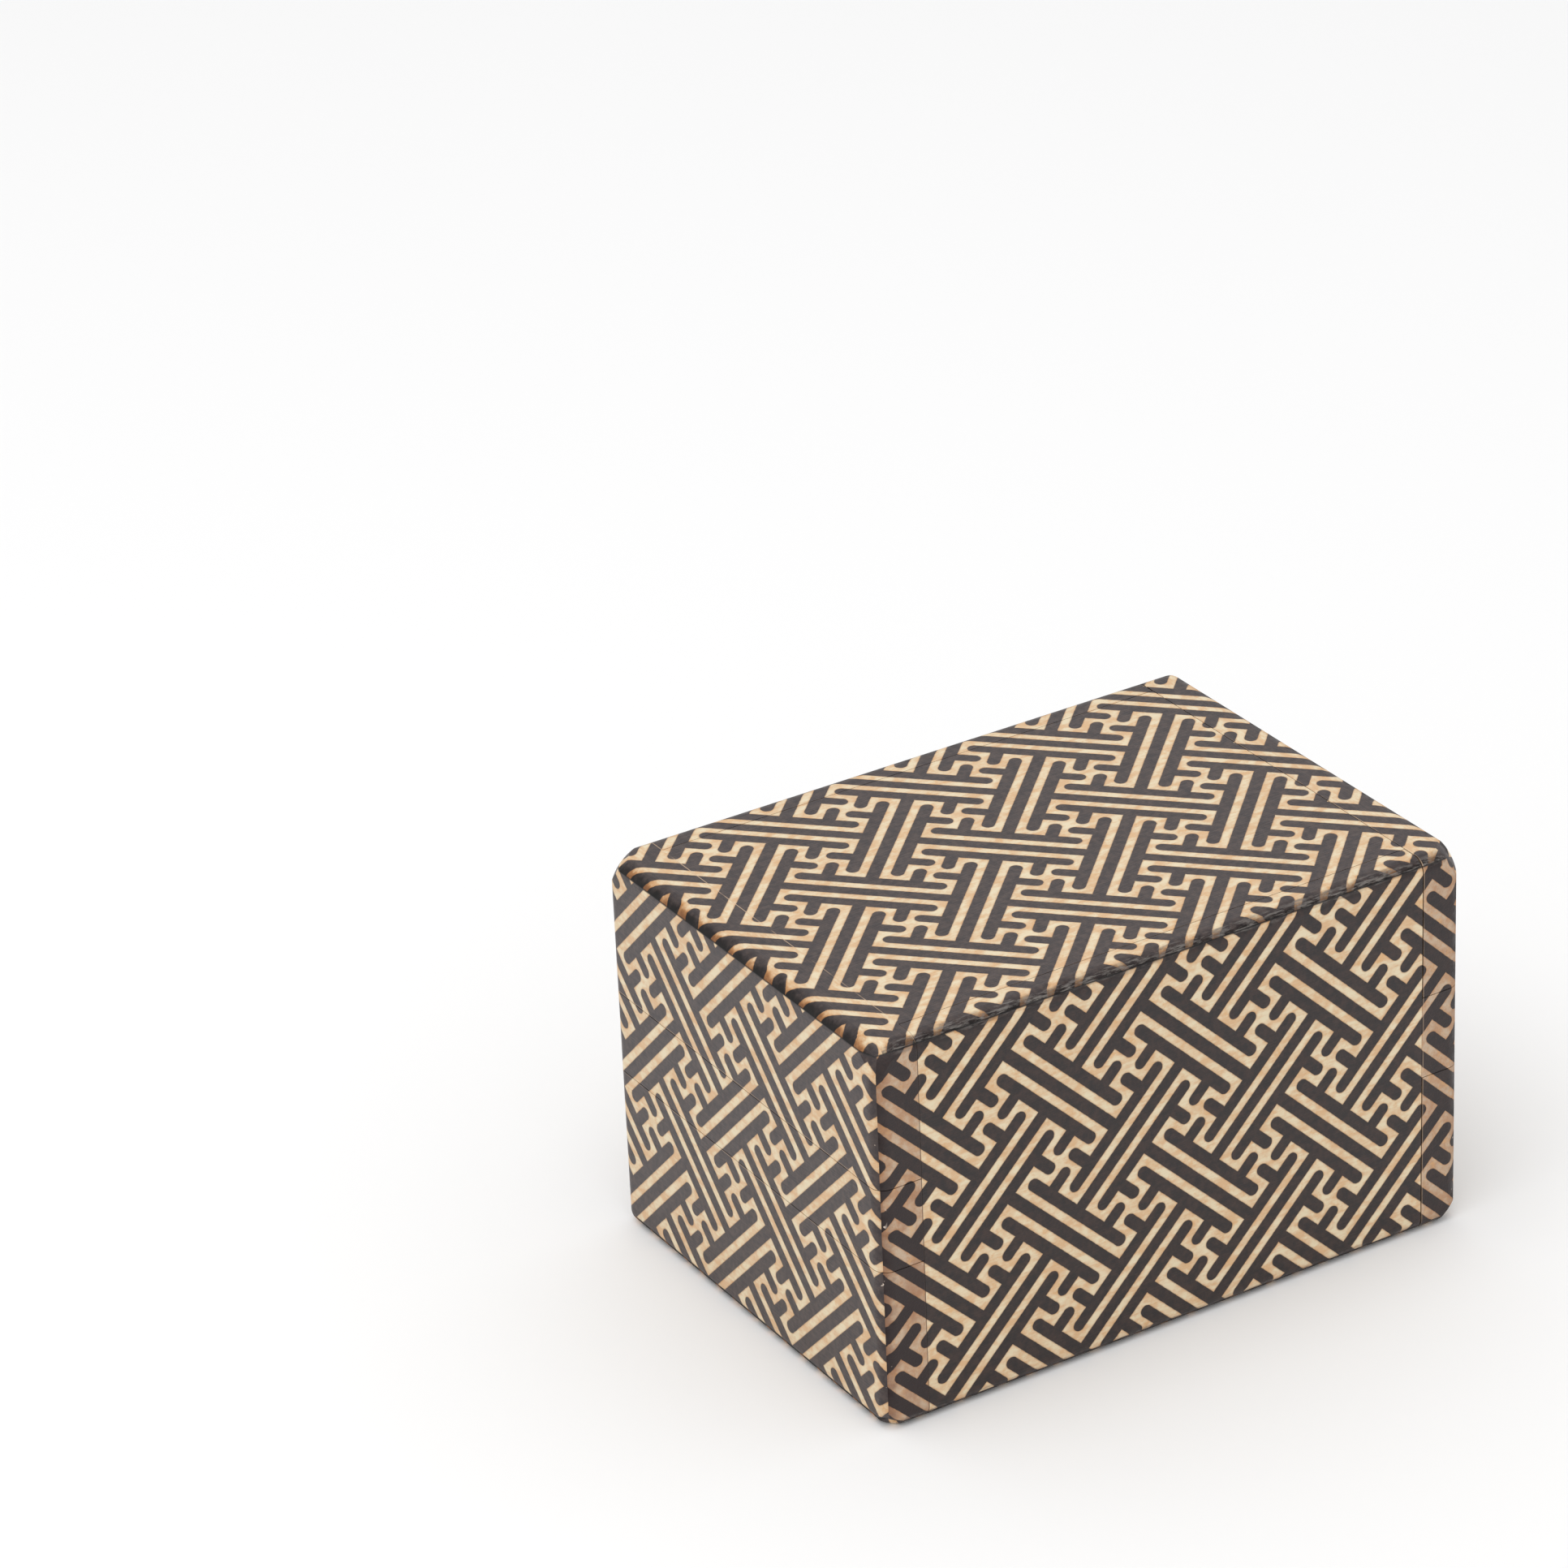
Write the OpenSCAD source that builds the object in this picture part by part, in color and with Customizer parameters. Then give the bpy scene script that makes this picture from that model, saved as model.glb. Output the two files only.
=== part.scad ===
// Sliding-key wooden puzzle box: a long-walled carcass with a lid that draws out to the left,
// a secret drawer under a false floor, and a sliding key bar across each end.
// Origin at the middle of the underside, +X to the right end, +Y to the back, +Z up, millimetres.

/* [Box] */
// Length of the closed box, end to end
box_l = 120; // [110:1:150]
// Depth of the closed box, front to back
box_w = 86; // [78:1:110]
// Height of the closed box
box_h = 74; // [70:1:90]
// Radius of the eased outer edges
edge_r = 2.6; // [1.5:0.1:3]
// How deep the upper corners are sanded back, along their diagonal
upper_sanding = 3.3; // [2:0.1:4]
// How deep the lower front corners are sanded back
lower_sanding = 2.7; // [2:0.1:4]

/* [Boards] */
// Thickness of the front and back walls
wall_t = 5.3; // [5:0.1:7]
// Thickness of the bars across both ends
end_t = 8.5; // [8:0.5:12]
// Thickness of the lid board
lid_t = 6.5; // [6:0.5:8]
// Thickness of the base board
base_t = 6; // [6:0.5:8]
// Thickness of the false floor between the compartment and the drawer
shelf_t = 3.6; // [3:0.2:4]
// Thickness of the two inner end walls
inner_t = 6; // [6:0.5:8]

/* [Ends] */
// Height of the drawer front, and of the lower right bar
low_h = 31.2; // [30:0.2:34]
// Height of the two key bars
key_h = 16; // [16:0.5:20]
// Open seam between the right bars and the long walls
cap_seam = 0.25; // [0.15:0.05:0.4]

/* [Keys] */
// Slide of each key bar
key_travel = 6; // [4:0.5:8]
// Diameter of the round lock pegs
peg_d = 3; // [2:0.5:4]
// How far a lock peg stands out of its bar
peg_out = 3; // [2:0.5:4]
// Height of the neck of a key tongue
neck_h = 3.4; // [3:0.2:4]
// Height of the head of a key tongue
head_h = 6; // [5:0.2:6]

/* [Lid] */
// Depth of the grooves that the lid runs in
groove_d = 2.2; // [1.5:0.1:3]
// Thickness of the lid's runner strips
runner_t = 2; // [1.5:0.1:2.5]

/* [Drawer] */
// Thickness of the drawer's sides and tail
side_t = 4; // [3:0.5:5]
// Thickness of the drawer's bottom
floor_t = 2.5; // [2:0.5:3]
// Room behind the drawer's tail for its catch
tail_room = 4.5; // [4.5:0.5:8]

/* [Fits] */
// Gap at the seams between sliding bars
seam = 0.15; // [0.1:0.05:0.25]
// Gap between the left bars and the ends of the long walls
end_gap = 0.05; // [0.05:0.05:0.15]
// Running gap round the drawer and under the lid
run = 0.2; // [0.15:0.05:0.3]

/* [Hidden] */
$fn = 48;

half_l = box_l / 2;
half_w = box_w / 2;
inner_x = half_l - end_t;              // inner face of the end bars, at both ends
inner_y = half_w - wall_t;             // inner face of the long walls
bar_x = inner_x + end_gap;             // inner face of the sliding bars
wall_x = inner_x - inner_t;            // compartment face of the inner end walls
key_z0 = low_h;                        // seam under the key bars
key_z1 = low_h + key_h;                // seam over the key bars
key_mid = low_h + key_h / 2;
lid_z = box_h - lid_t;                 // underside of the lid board
runner_z = box_h - 4.5;                // underside of the lid's runner strips
floor_z0 = low_h + run;                // underside of the false floor
floor_z1 = floor_z0 + shelf_t;
neck_l = 1.6;                          // depth of the neck part of a key's slot
head_l = 1.8;                          // depth of the head part of a key's slot
seat = 1.5;                            // depth of the glued seats and dadoes
base_groove_z = base_t / 2 - 1;        // underside of the base board's tongues
base_tongue_t = 2;
peg_x = (inner_x + half_l) / 2;        // lock pegs stand on the middle line of the left bars
peg_y = 12;
peg_room = 0.4;                        // play all round a lock peg
arm_w = 10;                            // width of the right key's arm
arm_z0 = 20;
catch_w = 4;                           // the catch peg's width, and its height
catch_z = 25;                          // middle of the catch peg
tail_x = wall_x - tail_room;           // outer face of the drawer's tail
drawer_y = inner_y - run;              // outer face of the drawer's sides
drawer_z0 = base_t + run;
drawer_z1 = floor_z0 - run;
bottom_z = drawer_z0 + seat;
batten_w = 6;
batten_t = 3;
tenon_t = 3;                           // height of the tenons on the right bars
tenon_l = 2;
sanding_reach = 8;                     // a sanded corner is part of a ball centred this far in
// Corners that are sanded back: which end, side and level each is at, and how deep.
sanded = [
    [-1, 1, 1, upper_sanding], [1, -1, 1, upper_sanding], [-1, -1, 1, upper_sanding],
    [-1, -1, -1, lower_sanding], [1, -1, -1, lower_sanding]
];
wood = "#e2c090";
pale = "#ecd3a8";
dark = "#6a5f58";

// A box from its lowest corner to its highest.
module block(low, high) translate(low) cube(high - low);

// The outer shape of the closed box, with every edge and corner eased by edge_r.
module eased_box() {
    x = half_l - edge_r;
    y = half_w - edge_r;
    z0 = edge_r;
    z1 = box_h - edge_r;
    block([-half_l, -y, z0], [half_l, y, z1]);
    block([-x, -half_w, z0], [x, half_w, z1]);
    block([-x, -y, 0], [x, y, box_h]);
    for (side = [-1, 1]) {
        for (end = [-1, 1])
            translate([end * x, side * y, z0]) cylinder(r = edge_r, h = z1 - z0);
        for (z = [z0, z1]) {
            translate([-x, side * y, z]) rotate([0, 90, 0]) cylinder(r = edge_r, h = 2 * x);
            translate([side * x, -y, z]) rotate([-90, 0, 0]) cylinder(r = edge_r, h = 2 * y);
            for (end = [-1, 1]) translate([end * x, side * y, z]) sphere(r = edge_r);
        }
    }
}

// A piece of the outer shape between two corners.
module outer(low, high) intersection() {
    eased_box();
    block(low, high);
}

// A bar across an end, between two corners, with the box's corners sanded back.
module end_bar(low, high) difference() {
    outer(low, high);
    for (c = sanded) {
        sign = [c[0], c[1], c[2]];
        translate([c[0] * half_l, c[1] * half_w, c[2] > 0 ? box_h : 0]) difference() {
            block([for (s = sign) s > 0 ? 1 - sanding_reach : -1],
                  [for (s = sign) s > 0 ? 1 : sanding_reach - 1]);
            translate(-sanding_reach * sign) sphere(r = sanding_reach * sqrt(3) - c[3]);
        }
    }
}

// A long wall, drawn as the front one: grooves for the lid and the base, a dado for the false floor.
module long_wall() color(dark) difference() {
    outer([-inner_x, -half_w, 0], [inner_x, -inner_y, box_h]);
    block([-half_l, -inner_y - groove_d, runner_z - seam / 2],
          [half_l, 0, runner_z + runner_t + seam / 2]);
    block([-half_l, -inner_y - seat, base_groove_z], [half_l, 0, base_groove_z + base_tongue_t]);
    block([-half_l, -inner_y - seat, floor_z0], [wall_x, 0, floor_z1]);
}
module front_wall() long_wall();
module back_wall() mirror([0, 1, 0]) long_wall();

module base_board() color(dark) {
    block([-inner_x, -inner_y, 0], [inner_x, inner_y, base_t]);
    block([-inner_x, -inner_y - seat, base_groove_z],
          [inner_x, inner_y + seat, base_groove_z + base_tongue_t]);
}

module false_floor() color(pale)
    block([-inner_x, -inner_y - seat, floor_z0], [wall_x, inner_y + seat, floor_z1]);

// The slot that a key's tongue runs in, cut along Y in the outer face of the left inner wall.
module tongue_slot() {
    block([-half_l, -half_w, key_mid - neck_h / 2 - seam],
          [-inner_x + neck_l, half_w, key_mid + neck_h / 2 + seam]);
    block([-inner_x + neck_l, -half_w, key_mid - head_h / 2 - seam],
          [-inner_x + neck_l + head_l, half_w, key_mid + head_h / 2 + seam]);
}

module left_inner_wall() color(wood) difference() {
    block([-inner_x, -inner_y, floor_z1], [-wall_x, inner_y, lid_z - run]);
    tongue_slot();
}

// The tenon of a right bar, and its mortise in the right inner wall.
module right_tenon(z) block([inner_x - tenon_l, -inner_y + 4, z],
                            [inner_x + cap_seam, inner_y - 4, z + tenon_t]);
upper_tenon_z = (key_z1 + lid_z) / 2;
lower_tenon_z = base_t + 4;

module right_inner_wall() color(wood) difference() {
    block([wall_x, -inner_y, base_t], [inner_x, inner_y, lid_z - run]);
    rotate([0, 0, 180]) {
        tongue_slot();
        // recess for the key's arm, and the window that its catch peg reaches through
        block([-half_l, -arm_w / 2 - key_travel - peg_room, arm_z0 - seam],
              [-inner_x + neck_l + head_l, arm_w / 2 + peg_room, key_mid]);
        block([-half_l, -catch_w / 2 - key_travel - peg_room, catch_z - catch_w / 2 - peg_room],
              [0, catch_w / 2 + peg_room, catch_z + catch_w / 2 + peg_room]);
    }
    right_tenon(upper_tenon_z);
    right_tenon(lower_tenon_z);
}

module right_upper_bar() color(dark) {
    end_bar([inner_x + cap_seam, -half_w, key_z1], [half_l, half_w, box_h]);
    right_tenon(upper_tenon_z);
}

module right_lower_bar() color(dark) {
    end_bar([inner_x + cap_seam, -half_w, 0], [half_l, half_w, low_h]);
    right_tenon(lower_tenon_z);
}

// Strip glued under the false floor, which stops the drawer's tail.
stop_x = -inner_x + 2;
module drawer_stop() color(wood)
    block([stop_x, -20, floor_z0 - batten_t], [stop_x + 4, 20, floor_z0]);

// Runner strip of the lid, drawn as the front one, half sunk in the edge of the board.
module lid_runner() block([-bar_x, -inner_y - groove_d + run, runner_z],
                          [inner_x, -inner_y + seam + 2, runner_z + runner_t]);
module lid_runner_front() color(wood) lid_runner();
module lid_runner_back() color(wood) mirror([0, 1, 0]) lid_runner();

// Tongue that joins the lid board to its end bar.
module lid_end_tongue() block([-bar_x - 3, -inner_y + 5, runner_z],
                              [-bar_x, inner_y - 5, runner_z + runner_t]);

module lid_board() color(dark) {
    difference() {
        block([-bar_x, -inner_y + seam, lid_z],
              [inner_x + cap_seam - seam, inner_y - seam, box_h]);
        lid_runner();
        mirror([0, 1, 0]) lid_runner();
    }
    lid_end_tongue();
}

// Pocket for a lock peg, open towards the inside of the box.
module peg_pocket(z0, z1)
    block([-peg_x - peg_d / 2 - peg_room, peg_y - key_travel - peg_d / 2 - peg_room, z0],
          [0, peg_y + peg_d / 2 + peg_room, z1]);

module lid_end_bar() color(dark) difference() {
    end_bar([-half_l, -half_w, key_z1], [-bar_x, half_w, box_h]);
    lid_end_tongue();
    peg_pocket(key_z1 - 1, key_z1 + peg_out + peg_room);
}

// Cross strip under the lid's tail: it meets the left inner wall when the lid is right out.
module lid_stop_batten() color(wood)
    block([wall_x - 1 - batten_w, -inner_y + 1.5, lid_z - batten_t],
          [wall_x - 1, inner_y - 1.5, lid_z]);

// A key's T-shaped tongue, drawn at the left end: its ends stop against the long walls.
module key_tongue() {
    front_end = -inner_y + key_travel + run;
    back_end = inner_y - run;
    block([-bar_x - seat, front_end, key_mid - neck_h / 2],
          [-inner_x + neck_l + seam, back_end, key_mid + neck_h / 2]);
    block([-inner_x + neck_l + seam, front_end, key_mid - head_h / 2],
          [-inner_x + neck_l + head_l - seam, back_end, key_mid + head_h / 2]);
}

// A key bar, drawn at the left end, with the seat of its tongue.
module key_bar() difference() {
    outer([-half_l, -half_w, key_z0 + seam], [-bar_x, half_w, key_z1 - seam]);
    key_tongue();
}

module left_key_upper_peg() color(wood)
    translate([-peg_x, peg_y, key_z1 - seam - 3]) cylinder(d = peg_d, h = 3 + peg_out);
module left_key_lower_peg() color(wood)
    translate([-peg_x, peg_y, key_z0 + seam - peg_out]) cylinder(d = peg_d, h = 3 + peg_out);

module left_key_bar() color(dark) difference() {
    key_bar();
    left_key_upper_peg();
    left_key_lower_peg();
}
module left_key_tongue() color(wood) key_tongue();

module right_key_bar() color(dark) rotate([0, 0, 180]) key_bar();
module right_key_tongue() color(wood) rotate([0, 0, 180]) key_tongue();

// Arm that hangs from the right tongue inside its wall, and the peg that it carries to the drawer.
module right_key_arm() color(wood) rotate([0, 0, 180])
    block([-inner_x + seam, -arm_w / 2, arm_z0],
          [-inner_x + neck_l + head_l - seam, arm_w / 2, key_mid - head_h / 2]);
module right_key_catch_peg() color(wood) rotate([0, 0, 180])
    block([-inner_x + neck_l + head_l - seam, -catch_w / 2, catch_z - catch_w / 2],
          [-wall_x + 3, catch_w / 2, catch_z + catch_w / 2]);

module drawer_bottom() color(pale)
    block([-bar_x - seat, -drawer_y + side_t - seat, bottom_z],
          [tail_x - side_t + seat, drawer_y - side_t + seat, bottom_z + floor_t]);

module drawer_front() color(dark) difference() {
    end_bar([-half_l, -half_w, seam], [-bar_x, half_w, low_h]);
    drawer_bottom();
    peg_pocket(low_h - peg_out - peg_room, low_h + 1);
}

// A side of the drawer, drawn as the front one.
module drawer_side() color(wood) difference() {
    block([-bar_x, -drawer_y, drawer_z0], [tail_x, -drawer_y + side_t, drawer_z1]);
    drawer_bottom();
}
module drawer_side_front() drawer_side();
module drawer_side_back() mirror([0, 1, 0]) drawer_side();

module drawer_tail() color(wood) difference() {
    block([tail_x - side_t, -drawer_y + side_t, drawer_z0],
          [tail_x, drawer_y - side_t, drawer_z1]);
    drawer_bottom();
}

// Forked block on the drawer's tail that straddles the right key's catch peg.
module drawer_catch() color(wood) difference() {
    block([tail_x, -8, catch_z - 5], [tail_x + 4, 8, catch_z + 5]);
    block([tail_x + 1, -half_w, catch_z - catch_w / 2 - peg_room],
          [half_l, half_w, catch_z + catch_w / 2 + peg_room]);
}

front_wall();
back_wall();
base_board();
false_floor();
left_inner_wall();
right_inner_wall();
right_upper_bar();
right_lower_bar();
drawer_stop();
lid_board();
lid_end_bar();
lid_runner_front();
lid_runner_back();
lid_stop_batten();
left_key_bar();
left_key_tongue();
left_key_upper_peg();
left_key_lower_peg();
right_key_bar();
right_key_tongue();
right_key_arm();
right_key_catch_peg();
drawer_front();
drawer_side_front();
drawer_side_back();
drawer_tail();
drawer_bottom();
drawer_catch();
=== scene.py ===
"""A wooden puzzle box with a printed fret pattern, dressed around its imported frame."""

import math

import bpy
from mathutils import Matrix, Vector


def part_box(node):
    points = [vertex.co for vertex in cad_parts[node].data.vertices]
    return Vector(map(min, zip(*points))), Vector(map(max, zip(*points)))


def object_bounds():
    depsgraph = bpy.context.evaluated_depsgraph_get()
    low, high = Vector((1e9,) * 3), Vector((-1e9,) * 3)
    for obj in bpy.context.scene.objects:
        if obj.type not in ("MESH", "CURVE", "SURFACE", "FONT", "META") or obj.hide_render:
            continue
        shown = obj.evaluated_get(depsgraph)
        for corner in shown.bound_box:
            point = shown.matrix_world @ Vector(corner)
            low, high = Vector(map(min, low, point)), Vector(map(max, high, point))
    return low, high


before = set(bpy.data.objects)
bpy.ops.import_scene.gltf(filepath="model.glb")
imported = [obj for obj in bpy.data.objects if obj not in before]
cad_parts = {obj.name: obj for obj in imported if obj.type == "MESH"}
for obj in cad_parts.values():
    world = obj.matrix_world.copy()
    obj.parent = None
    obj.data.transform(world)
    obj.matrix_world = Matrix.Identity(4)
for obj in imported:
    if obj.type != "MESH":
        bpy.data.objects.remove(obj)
cad_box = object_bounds()


# Front and back walls. Boards of pale linden planed thin, with grooves for the lid and the base,
# glued over the ends of the inner walls. Their outsides are hot-stamped with a fret once the box
# is together and sanded round, so the pattern runs on from piece to piece and over the edges.
MM = 0.001


def feed(tree, socket, value):
    """Links socket to value where value is a socket, and otherwise sets it."""
    if isinstance(value, bpy.types.NodeSocket):
        tree.links.new(value, socket)
    else:
        socket.default_value = value


def number(tree, operation, *values):
    """A Math node's result."""
    node = tree.nodes.new("ShaderNodeMath")
    node.operation = operation
    for socket, value in zip(node.inputs, values):
        feed(tree, socket, value)
    return node.outputs[0]


def vector(tree, operation, *values):
    """A Vector Math node's result: a number for LENGTH, and a vector for the others."""
    node = tree.nodes.new("ShaderNodeVectorMath")
    node.operation = operation
    for socket, value in zip(node.inputs, values):
        feed(tree, socket, value)
    return node.outputs["Value" if operation == "LENGTH" else "Vector"]


def scaled(tree, place, factor):
    """A vector times a number."""
    node = tree.nodes.new("ShaderNodeVectorMath")
    node.operation = "SCALE"
    feed(tree, node.inputs[0], place)
    feed(tree, node.inputs["Scale"], factor)
    return node.outputs[0]


def parts(tree, place):
    """The three components of a vector."""
    node = tree.nodes.new("ShaderNodeSeparateXYZ")
    feed(tree, node.inputs[0], place)
    return node.outputs[0], node.outputs[1], node.outputs[2]


def joined(tree, x, y, z=0.0):
    """A vector from three numbers."""
    node = tree.nodes.new("ShaderNodeCombineXYZ")
    for socket, value in zip(node.inputs, (x, y, z)):
        feed(tree, socket, value)
    return node.outputs[0]


def step(tree, value, low, high):
    """0 below low, 1 above high and smooth between them; the other way round if low > high."""
    node = tree.nodes.new("ShaderNodeMapRange")
    node.interpolation_type = "SMOOTHSTEP"
    ends = (low, high, 0.0, 1.0) if low < high else (high, low, 1.0, 0.0)
    feed(tree, node.inputs["Value"], value)
    for key, end in zip(("From Min", "From Max", "To Min", "To Max"), ends):
        feed(tree, node.inputs[key], end)
    return node.outputs[0]


def mixed(tree, amount, first, second):
    """A colour between first, at 0, and second, at 1."""
    node = tree.nodes.new("ShaderNodeMix")
    node.data_type = "RGBA"
    feed(tree, node.inputs["Factor"], amount)
    feed(tree, node.inputs[6], first)
    feed(tree, node.inputs[7], second)
    return node.outputs[2]


def noise(tree, place, scale, detail=2.0, roughness=0.5):
    """A cloudy number, mostly from 0.3 to 0.7."""
    node = tree.nodes.new("ShaderNodeTexNoise")
    feed(tree, node.inputs["Vector"], place)
    node.inputs["Scale"].default_value = scale
    node.inputs["Detail"].default_value = detail
    node.inputs["Roughness"].default_value = roughness
    return node.outputs["Fac"]


KINDS = {"vector": "NodeSocketVector", "number": "NodeSocketFloat", "colour": "NodeSocketColor"}


def new_group(name, inputs, outputs):
    """An empty node group with named sockets: its tree, what comes in, and what goes out."""
    tree = bpy.data.node_groups.new(name, "ShaderNodeTree")
    for label, kind in inputs.items():
        tree.interface.new_socket(label, in_out="INPUT", socket_type=KINDS[kind])
    for label, kind in outputs.items():
        tree.interface.new_socket(label, in_out="OUTPUT", socket_type=KINDS[kind])
    return tree, tree.nodes.new("NodeGroupInput").outputs, tree.nodes.new("NodeGroupOutput").inputs


def use(tree, group, values):
    """Places a group in a tree with these values, and returns its outputs."""
    node = tree.nodes.new("ShaderNodeGroup")
    node.node_tree = group
    for label, value in values.items():
        feed(tree, node.inputs[label], value)
    return node.outputs


# The fret. Dark strokes with round ends lie at 45 degrees to the edges, and the wood left between
# them is the fret. One cell is five strokes wide and is mirrored across its edges. It holds three
# strokes, each given by its middle and its reach, which are repeated at quarter turns.
stroke_half = 0.30
cell_side = 5.0
cell_strokes = (
    ((-2.5, 0.5), (0.0, 2.0)),
    ((-1.5, 0.96), (0.0, 1.54)),
    ((-0.54, -0.935), (0.0, 0.565)),
)

stroke, given, result = new_group(
    "stroke_distance",
    {"Place": "vector", "Middle": "vector", "Reach": "vector"},
    {"Distance": "number"},
)
off_middle = vector(stroke, "ABSOLUTE", vector(stroke, "SUBTRACT", given["Place"], given["Middle"]))
off_end = vector(stroke, "SUBTRACT", off_middle, given["Reach"])
off_end = vector(stroke, "MAXIMUM", off_end, (0.0, 0.0, 0.0))
feed(stroke, result["Distance"], vector(stroke, "LENGTH", off_end))

fret, given, result = new_group("fret", {"Place": "vector"}, {"Distance": "number"})
cell_high = (cell_side, cell_side, 1.0)
cell_low = (-cell_side, -cell_side, -1.0)
cell_middle = (cell_side / 2, cell_side / 2, 0.0)
wrapped = vector(fret, "WRAP", given["Place"], cell_high, cell_low)
in_cell = vector(fret, "SUBTRACT", vector(fret, "ABSOLUTE", wrapped), cell_middle)
in_cell = vector(fret, "MULTIPLY", in_cell, (1.0, 1.0, 0.0))
nearest = 2 * cell_side
for (x, y), (reach_x, reach_y) in cell_strokes:
    for quarter_turn in range(4):
        values = {
            "Place": in_cell,
            "Middle": (x, y, 0.0),
            "Reach": (abs(reach_x), abs(reach_y), 0.0),
        }
        nearest = number(fret, "MINIMUM", nearest, use(fret, stroke, values)[0])
        x, y = y, -x
        reach_x, reach_y = reach_y, reach_x
feed(fret, result["Distance"], nearest)

# Where a point is on the closed box: which face owns it, how far it has turned round an eased
# edge, how near it is to an edge, and where it is on that face's stamped sheet. It is outside if
# it is nearly on the eased surface, or past the ball that the sanded corners were rounded to.
low, high = (Vector(corner) / MM for corner in cad_box)
half = (high - low) / 2
edge_radius = 2.6
outside_from = 0.93
ball_depth = 8.0
ball_radius = 10.45
edge_reach = 4.0

# The top's sheet is wrapped well down over the edges, so it claims more than half of the curve,
# and a crease shows where it meets the sheets of the sides. Each sheet has a start and a pitch in
# millimetres, and a slight tilt.
claim = (1.0, 2.0, 3.5)
sheets = {
    "top": (14.7, 5.2, 27.9, 0.0),
    "bottom": (9.0, 19.5, 27.8, 0.004),
    "front": (22.64, 12.97, 27.7, 0.007),
    "back": (6.4, 9.8, 27.7, -0.005),
    "left": (11.55, 11.53, 27.7, 0.0),
    "right": (18.1, 4.9, 27.7, 0.004),
}

faces, given, result = new_group(
    "box_faces",
    {"Place": "vector", "Shift": "vector"},
    {
        "Sheet": "vector",
        "Outside": "number",
        "Rim": "number",
        "Corner": "vector",
        "Owner": "vector",
        "Turn": "number",
        "Edge": "number",
        "Crease": "number",
    },
)
place = given["Place"]
middle = vector(faces, "SUBTRACT", place, (0.0, 0.0, half.z))
off_middle = vector(faces, "ABSOLUTE", middle)


def past(depth):
    """How far a point is past the plane at this depth under each face, and 0 where it isn't."""
    inner = tuple(size - depth for size in half)
    return vector(faces, "MAXIMUM", vector(faces, "SUBTRACT", off_middle, inner), (0.0, 0.0, 0.0))


corner = scaled(faces, past(edge_radius), 1 / edge_radius)
feed(faces, result["Corner"], corner)
out_of_core = vector(faces, "LENGTH", corner)
feed(faces, result["Rim"], step(faces, out_of_core, 0.35, 0.9))
eased = number(faces, "GREATER_THAN", out_of_core, outside_from)
sanded = number(faces, "GREATER_THAN", vector(faces, "LENGTH", past(ball_depth)), ball_radius)
feed(faces, result["Outside"], number(faces, "MAXIMUM", eased, sanded))
edge_x, edge_y, edge_z = parts(faces, scaled(faces, past(edge_reach), 1 / edge_reach))
least = number(faces, "MINIMUM", edge_x, edge_y)
most = number(faces, "MAXIMUM", edge_x, edge_y)
feed(faces, result["Edge"], number(faces, "MAXIMUM", least, number(faces, "MINIMUM", most, edge_z)))

corner_x, corner_y, corner_z = parts(faces, corner)
claim_x, claim_y, claim_z = parts(faces, vector(faces, "MULTIPLY", corner, claim))
claim_side = number(faces, "MAXIMUM", claim_x, claim_y)
own_z = number(faces, "GREATER_THAN", claim_z, claim_side)
own_y = number(faces, "GREATER_THAN", corner_y, corner_x)
own_y = number(faces, "MULTIPLY", own_y, number(faces, "SUBTRACT", 1.0, own_z))
own_x = number(faces, "SUBTRACT", number(faces, "SUBTRACT", 1.0, own_z), own_y)
feed(faces, result["Owner"], joined(faces, own_x, own_y, own_z))
turn_x = number(faces, "MULTIPLY", own_x, number(faces, "MAXIMUM", corner_y, corner_z))
turn_y = number(faces, "MULTIPLY", own_y, number(faces, "MAXIMUM", corner_x, corner_z))
turn_z = number(faces, "MULTIPLY", own_z, number(faces, "MAXIMUM", corner_x, corner_y))
feed(faces, result["Turn"], number(faces, "ADD", number(faces, "ADD", turn_x, turn_y), turn_z))
contest = number(faces, "ABSOLUTE", number(faces, "SUBTRACT", claim_z, claim_side))
feed(faces, result["Crease"], step(faces, contest, 0.34, 0.08))

x, y, z = parts(faces, vector(faces, "ADD", place, given["Shift"]))
sign_x, sign_y, sign_z = parts(faces, vector(faces, "SIGN", middle))
on_ends = joined(faces, number(faces, "MULTIPLY_ADD", sign_x, y, half.y), z)
on_sides = joined(
    faces, number(faces, "SUBTRACT", half.x, number(faces, "MULTIPLY", sign_y, x)), z
)
on_flats = joined(
    faces, number(faces, "ADD", x, half.x), number(faces, "MULTIPLY_ADD", sign_z, y, half.y)
)
sheet = (0.0, 0.0, 0.0)
for owner, sign, spot, names in (
    (own_x, sign_x, on_ends, ("left", "right")),
    (own_y, sign_y, on_sides, ("front", "back")),
    (own_z, sign_z, on_flats, ("bottom", "top")),
):
    for side, name in zip((-1, 1), names):
        start_x, start_y, pitch, tilt = sheets[name]
        chosen = number(faces, "COMPARE", sign, float(side), 0.5)
        chosen = number(faces, "MULTIPLY", chosen, owner)
        flat_x, flat_y, _ = parts(faces, vector(faces, "SUBTRACT", spot, (start_x, start_y, 0.0)))
        tilted_x = number(faces, "MULTIPLY_ADD", flat_y, tilt, flat_x)
        tilted_y = number(faces, "MULTIPLY_ADD", flat_x, -tilt, flat_y)
        tilted = scaled(faces, joined(faces, tilted_x, tilted_y), cell_side / pitch)
        sheet = vector(faces, "ADD", sheet, scaled(faces, tilted, chosen))
across, up, _ = parts(faces, sheet)
across, up = number(faces, "ADD", across, up), number(faces, "SUBTRACT", up, across)
feed(faces, result["Sheet"], joined(faces, across, up))

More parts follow.
